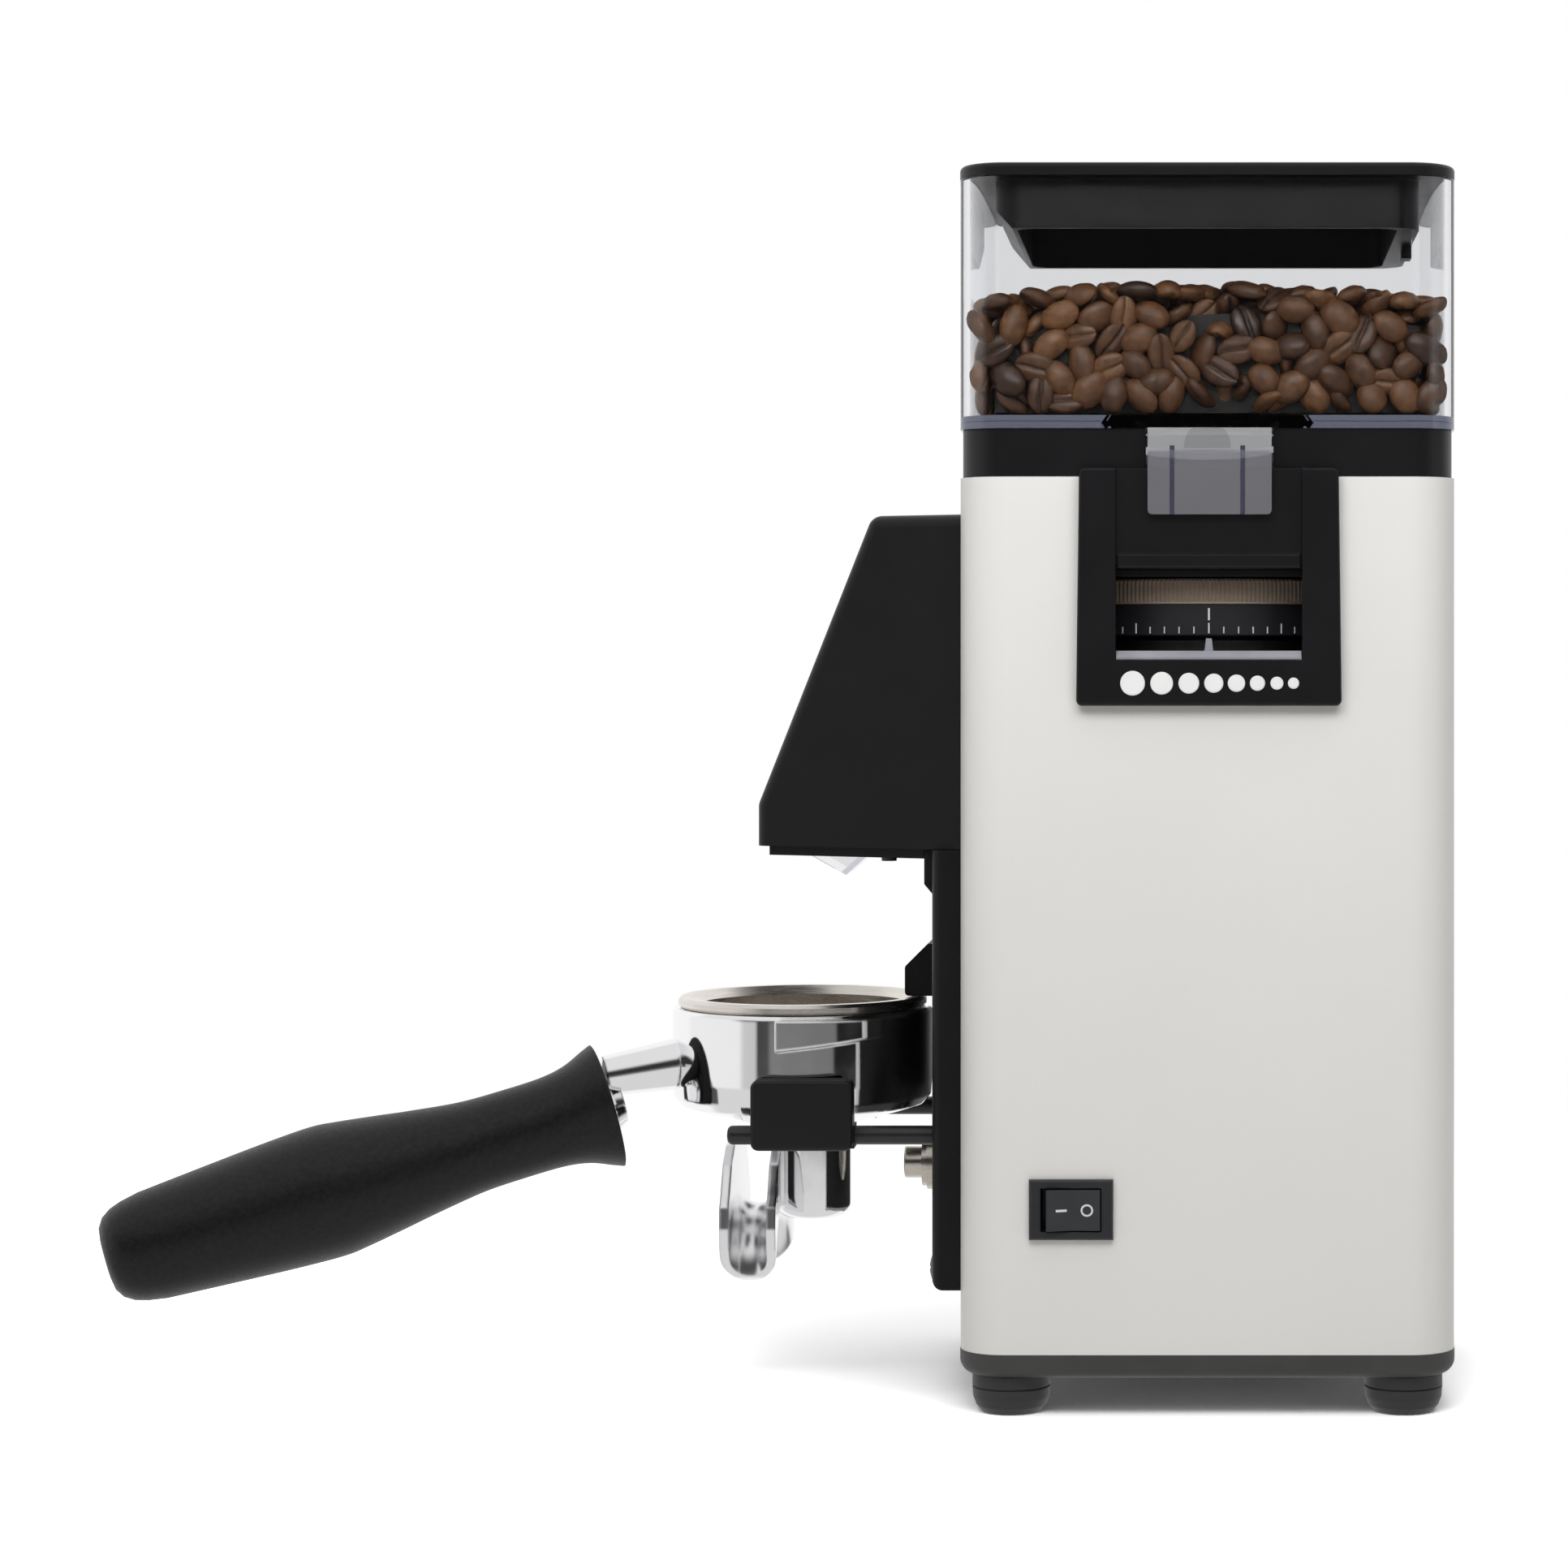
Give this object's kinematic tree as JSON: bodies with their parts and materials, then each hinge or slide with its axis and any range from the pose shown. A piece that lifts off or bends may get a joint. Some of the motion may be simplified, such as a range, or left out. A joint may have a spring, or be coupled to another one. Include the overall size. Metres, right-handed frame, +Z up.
{
  "type": "burr coffee grinder",
  "caption": "Upright burr coffee grinder with a bean hopper, side grind-size window, spout head and a fork that holds a portafilter.",
  "frame": {"origin": "on the worktop, under the middle of the bounding box of the grinder with its portafilter on the fork", "axes": "+Z up; -X is the front, where the spout head and portafilter are; -Y is the side with the grind window and mains switch"},
  "size_m": [0.3638, 0.1264, 0.3342],
  "materials": {
    "foot_rubber": "matte",
    "screw_steel": "satin",
    "base_plastic": "matte",
    "white_paint": "satin",
    "black_satin_plastic": "satin",
    "clear_plastic": "gloss",
    "lid_plastic": "satin",
    "roasted_beans": "satin, oily",
    "pale_index": "satin",
    "white_print": "matte",
    "bronze_ring": "satin anodised",
    "scale_black": "satin",
    "cast_aluminium": "cast",
    "burr_steel": "ground",
    "brass_carrier": "machined",
    "duct_plastic": "matte",
    "zinc_steel": "zinc plated",
    "lamination_steel": "laminated",
    "copper_wire": "enamelled",
    "board_green": "solder mask",
    "black_housing": "fine satin",
    "panel_gloss": "gloss",
    "display_glass": "gloss",
    "screw_black": "satin",
    "black_rod": "satin powder coat",
    "pad_rubber": "matte",
    "nickel": "satin",
    "switch_black": "semi gloss",
    "rocker_black": "satin",
    "polished_chrome": "polished",
    "brushed_basket": "brushed",
    "handle_black": "fine texture",
    "key_grey": "satin"
  },
  "bodies": {
    "machine": {"feet": "foot_rubber", "foot_screws": "screw_steel", "base_tray": "base_plastic", "body_shell": "white_paint", "top_collar": "black_satin_plastic", "grind_bezel": "black_satin_plastic", "index_ledge": "pale_index", "grind_size_dots": "white_print", "ring_retainer": "black_satin_plastic", "grinding_chamber": "cast_aluminium", "chamber_screws": "screw_steel", "outlet_duct": "duct_plastic", "clear_chute": "clear_plastic", "chassis_plate": "zinc_steel", "frame_pillars": "zinc_steel", "motor_can": "zinc_steel", "motor_end_bell": "cast_aluminium", "stator_core": "lamination_steel", "stator_windings": "copper_wire", "ball_bearings": "burr_steel", "control_board": "board_green", "spout_housing": "black_housing", "control_panel": "panel_gloss", "display_lens": "display_glass", "head_bottom_cover": "black_housing", "bottom_cover_screws": "screw_black", "front_plate": "black_housing", "front_plate_screws": "screw_black", "fork_rods": "black_rod", "fork_pads": "pad_rubber", "rim_hook": "black_housing", "button_housing": "nickel", "microswitch": "duct_plastic", "switch_frame": "switch_black", "cable_gland": "duct_plastic"},
    "hopper": {"hopper": "clear_plastic", "coffee_beans": "roasted_beans"},
    "lid": {"hopper_lid": "lid_plastic"},
    "shutter": {"window_shutter": "black_satin_plastic"},
    "adjuster": {"adjust_ring": "bronze_ring", "scale_ring": "scale_black"},
    "burr_carrier": {"upper_burr_carrier": "cast_aluminium", "upper_burr": "burr_steel", "upper_burr_screws": "screw_steel"},
    "rotor": {"rotor": "lamination_steel", "motor_shaft": "screw_steel", "cooling_fan": "duct_plastic", "lower_burr": "burr_steel", "lower_burr_screws": "screw_steel", "lower_burr_carrier": "brass_carrier", "burr_nut": "screw_steel"},
    "button": {"dose_button": "nickel"},
    "left_key": {"double_dose_key": "key_grey"},
    "right_key": {"single_dose_key": "key_grey"},
    "rocker": {"rocker": "rocker_black"},
    "portafilter": {"portafilter_body": "polished_chrome", "filter_basket": "brushed_basket", "basket_spring": "screw_steel", "portafilter_spout": "polished_chrome", "portafilter_handle": "handle_black"}
  },
  "joints": [
    {"name": "hopper_lift", "type": "slide", "parent": "machine", "child": "hopper", "axis": [0, 0, 1], "range_m": [0, 0.06]},
    {"name": "lid_lift", "type": "slide", "parent": "hopper", "child": "lid", "axis": [0, 0, 1], "range_m": [0, 0.04]},
    {"name": "shutter_slide", "type": "slide", "parent": "machine", "child": "shutter", "axis": [0, 0, -1], "range_m": [0, 0.02]},
    {"name": "ring_turn", "type": "hinge", "parent": "machine", "child": "adjuster", "pos_m": [0.11542, 0.00314, 0.2167], "axis": [0, 0, 1], "range_deg": [-45, 270]},
    {"name": "carrier_travel", "type": "slide", "parent": "machine", "child": "burr_carrier", "axis": [0, 0, 1], "range_m": [-0.00019, 0.00112]},
    {"name": "rotor_spin", "type": "hinge", "parent": "machine", "child": "rotor", "pos_m": [0.11542, 0.00314, 0.12], "axis": [0, 0, 1], "continuous": true},
    {"name": "dose_press", "type": "slide", "parent": "machine", "child": "button", "axis": [1, 0, 0], "range_m": [0, 0.003], "stiffness_N_per_m": 500},
    {"name": "left_key_press", "type": "slide", "parent": "machine", "child": "left_key", "axis": [0.9235, 0, -0.3836], "range_m": [0, 0.0008], "stiffness_N_per_m": 600},
    {"name": "right_key_press", "type": "slide", "parent": "machine", "child": "right_key", "axis": [0.9235, 0, -0.3836], "range_m": [0, 0.0008], "stiffness_N_per_m": 600},
    {"name": "rocker_switch", "type": "hinge", "parent": "machine", "child": "rocker", "pos_m": [0.07922, -0.05486, 0.0558], "axis": [0, 0, -1], "range_deg": [0, 14]},
    {"name": "portafilter_slide", "type": "slide", "parent": "machine", "child": "portafilter", "axis": [-1, 0, 0], "range_m": [0, 0.06]}
  ],
  "couplings": [
    {"joint": "ring_turn", "follows": "carrier_travel", "rad_per_m": 4188.8}
  ]
}
